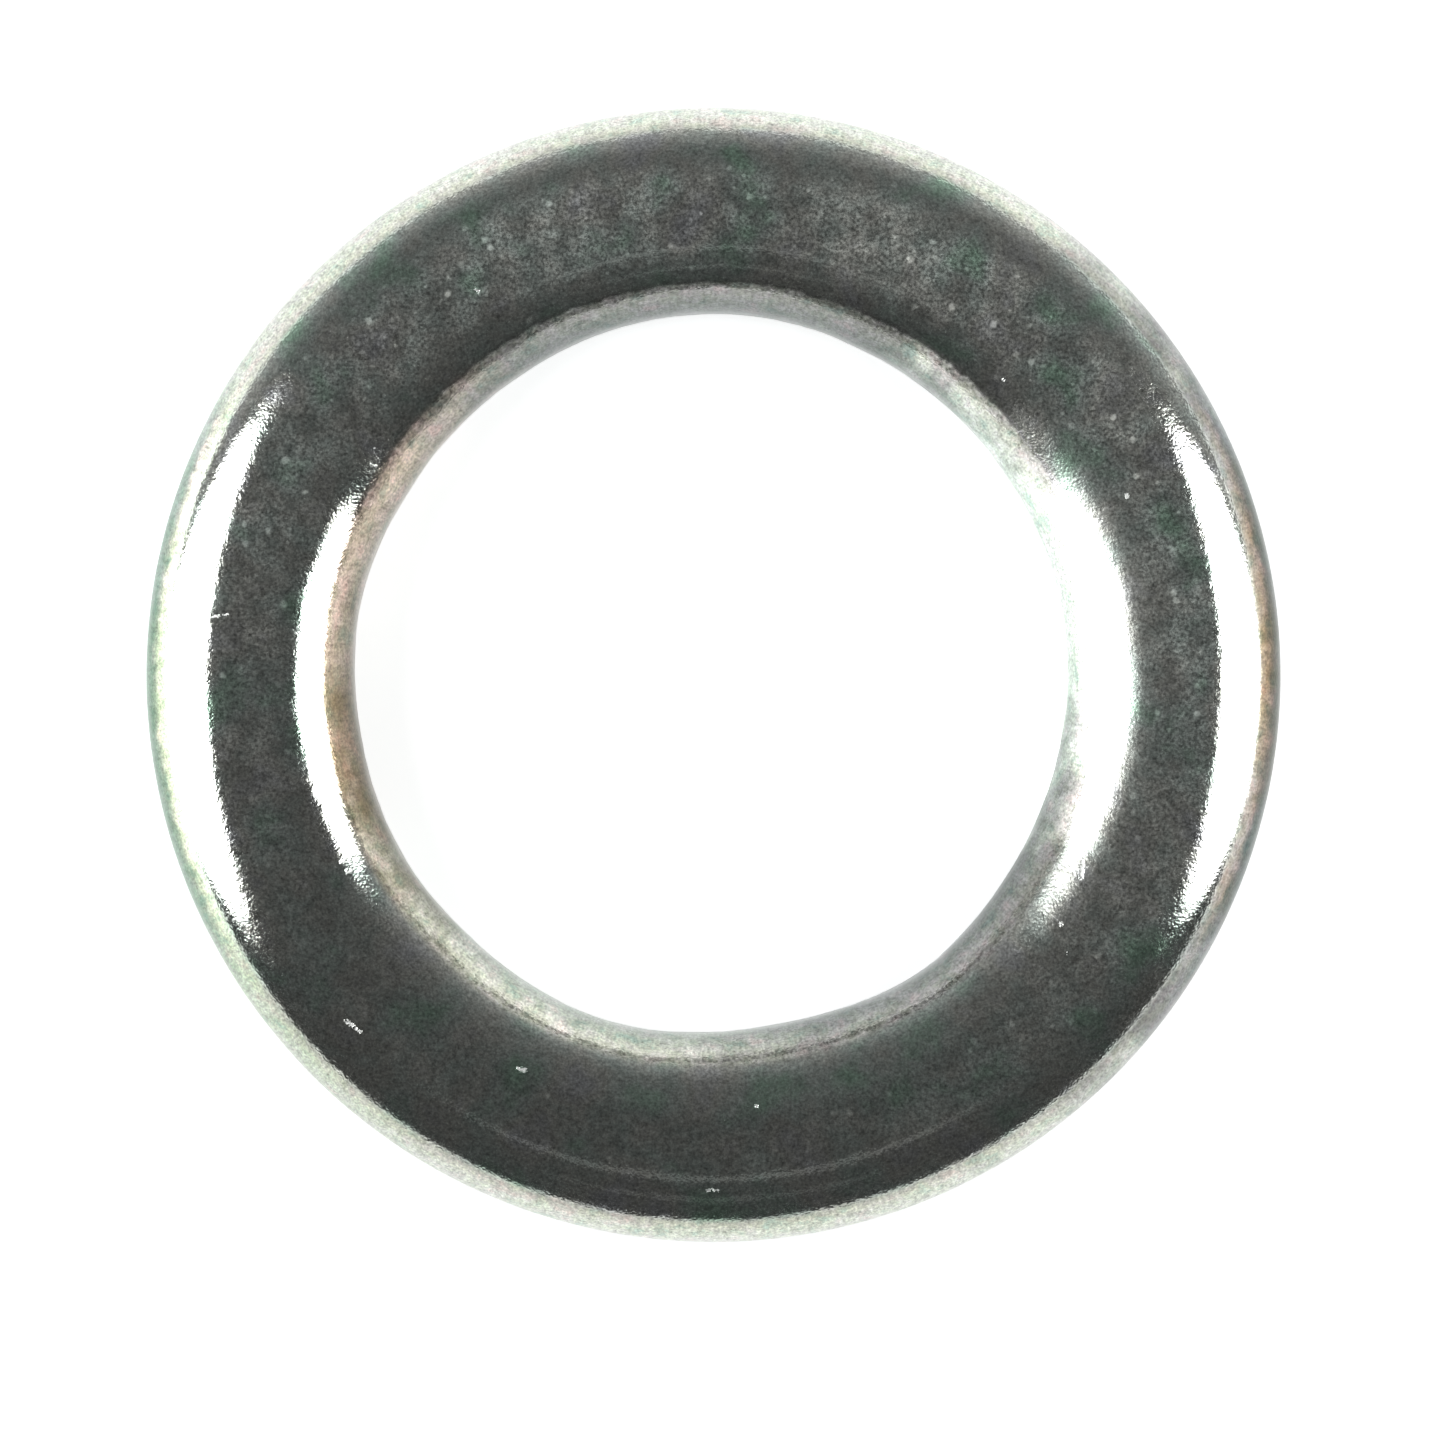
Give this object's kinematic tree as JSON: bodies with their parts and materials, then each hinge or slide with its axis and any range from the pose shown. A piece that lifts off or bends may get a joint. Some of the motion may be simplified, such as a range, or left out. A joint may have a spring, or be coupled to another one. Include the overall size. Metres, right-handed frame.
{
  "type": "flat washer",
  "caption": "Flat round washer of plated steel with a plain round hole, both rims rolled over smoothly towards the bearing face.",
  "frame": {"origin": "centre of the hole, on the flat seat face", "axes": "+Z along the hole's axis, from the seat face towards the rolled bearing face; X and Y lie in the seat face"},
  "size_m": [0.024, 0.024, 0.0025],
  "materials": {
    "bright_plated_steel": "bright electroplated steel: polished and dark-reflecting on the bearing face and rolled rims, satin on the cut walls"
  },
  "bodies": {
    "root": {"washer": "bright_plated_steel"}
  },
  "joints": []
}
